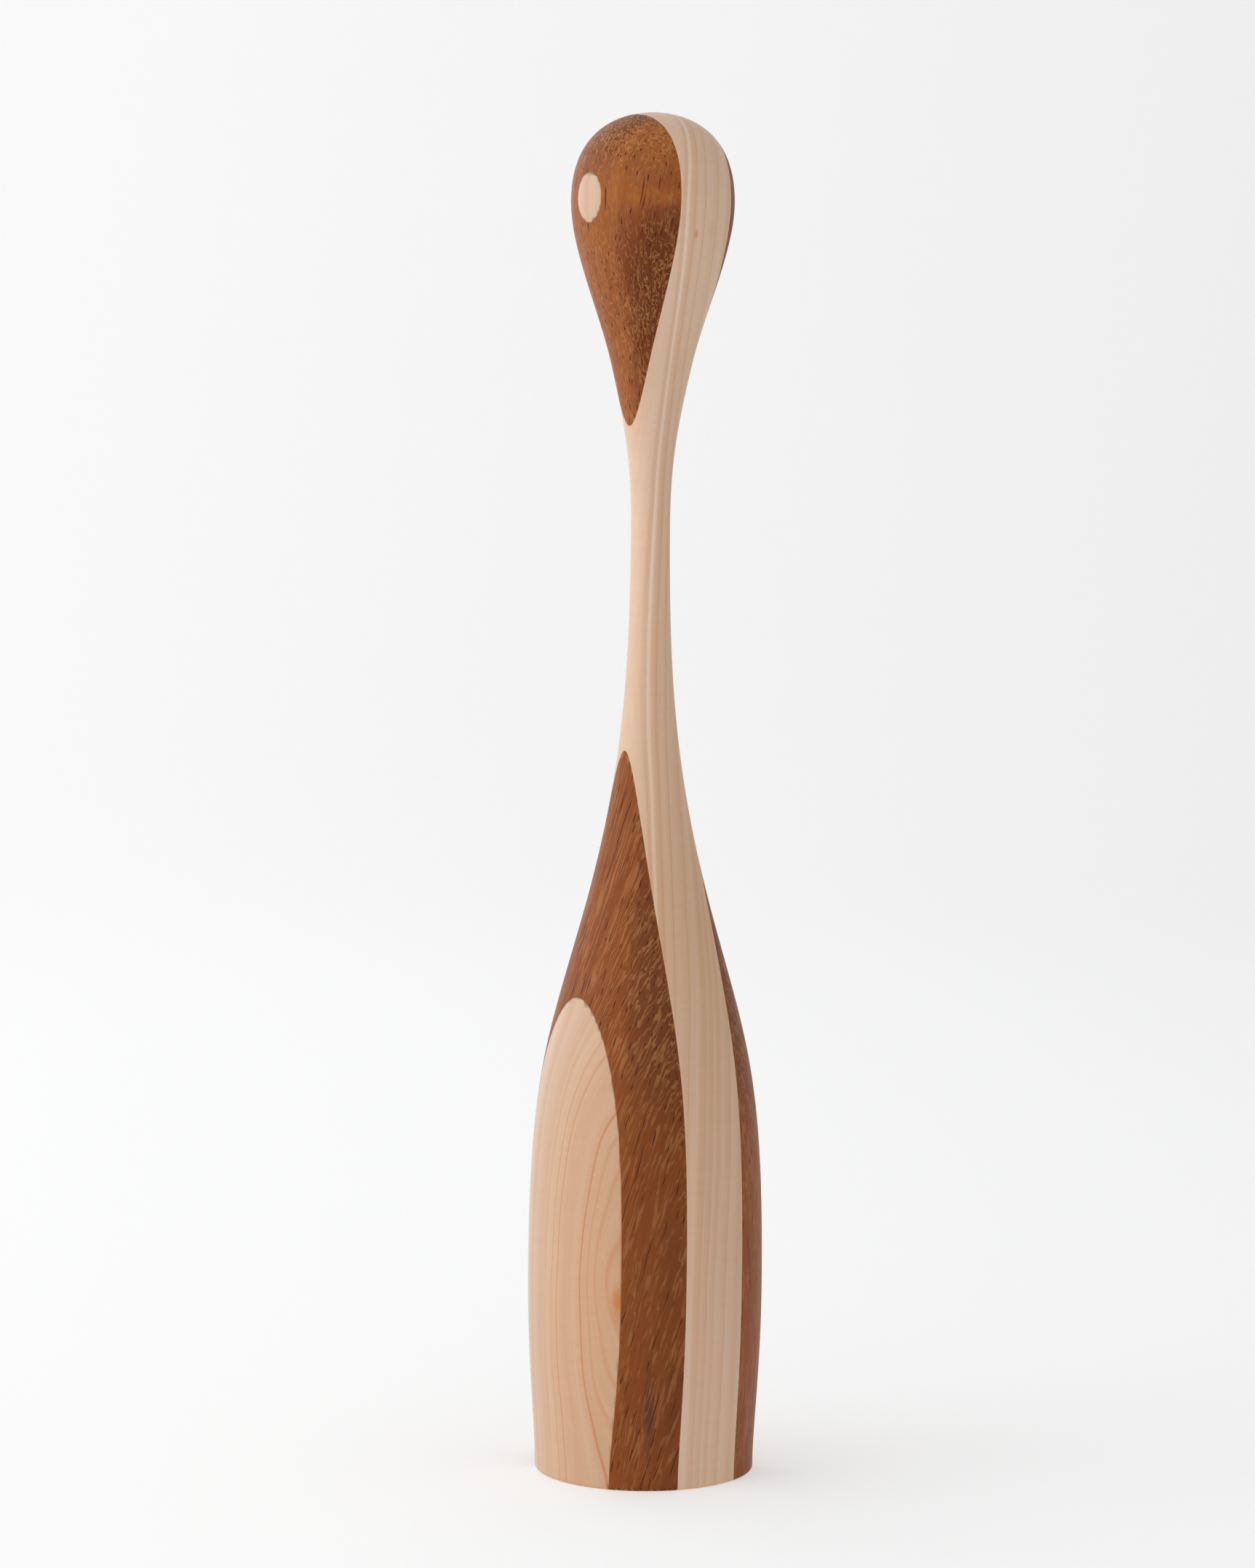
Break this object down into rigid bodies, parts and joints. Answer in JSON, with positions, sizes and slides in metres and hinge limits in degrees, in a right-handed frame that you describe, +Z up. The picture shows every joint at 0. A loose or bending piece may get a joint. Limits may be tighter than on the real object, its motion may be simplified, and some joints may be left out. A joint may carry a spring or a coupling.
{
  "type": "kokeshi doll",
  "caption": "Tall turned wooden kokeshi doll with a drop-shaped head, a long thin neck and a bellied body, glued up from pale and red-brown boards.",
  "frame": {"origin": "centre of the flat base, on the turning axis", "axes": "+Z up along the turning axis, -Y the way the face looks, +X to the doll's left"},
  "size_m": [0.066, 0.066, 0.38],
  "materials": {
    "core_wood": "pale straight-grained maple, turned, fine sanded and oiled to a low satin",
    "outer_wood": "pale pinkish maple with arched growth rings, turned, fine sanded and oiled to a low satin",
    "red_wood": "red-brown coarse-pored tropical hardwood, turned, fine sanded and oiled to a low satin"
  },
  "bodies": {
    "root": {"core_board": "core_wood", "head_front": "red_wood", "head_back": "red_wood", "body_front": "red_wood", "body_back": "red_wood", "face_oval": "outer_wood", "belly_panel_front": "outer_wood", "belly_panel_back": "outer_wood"}
  },
  "joints": []
}
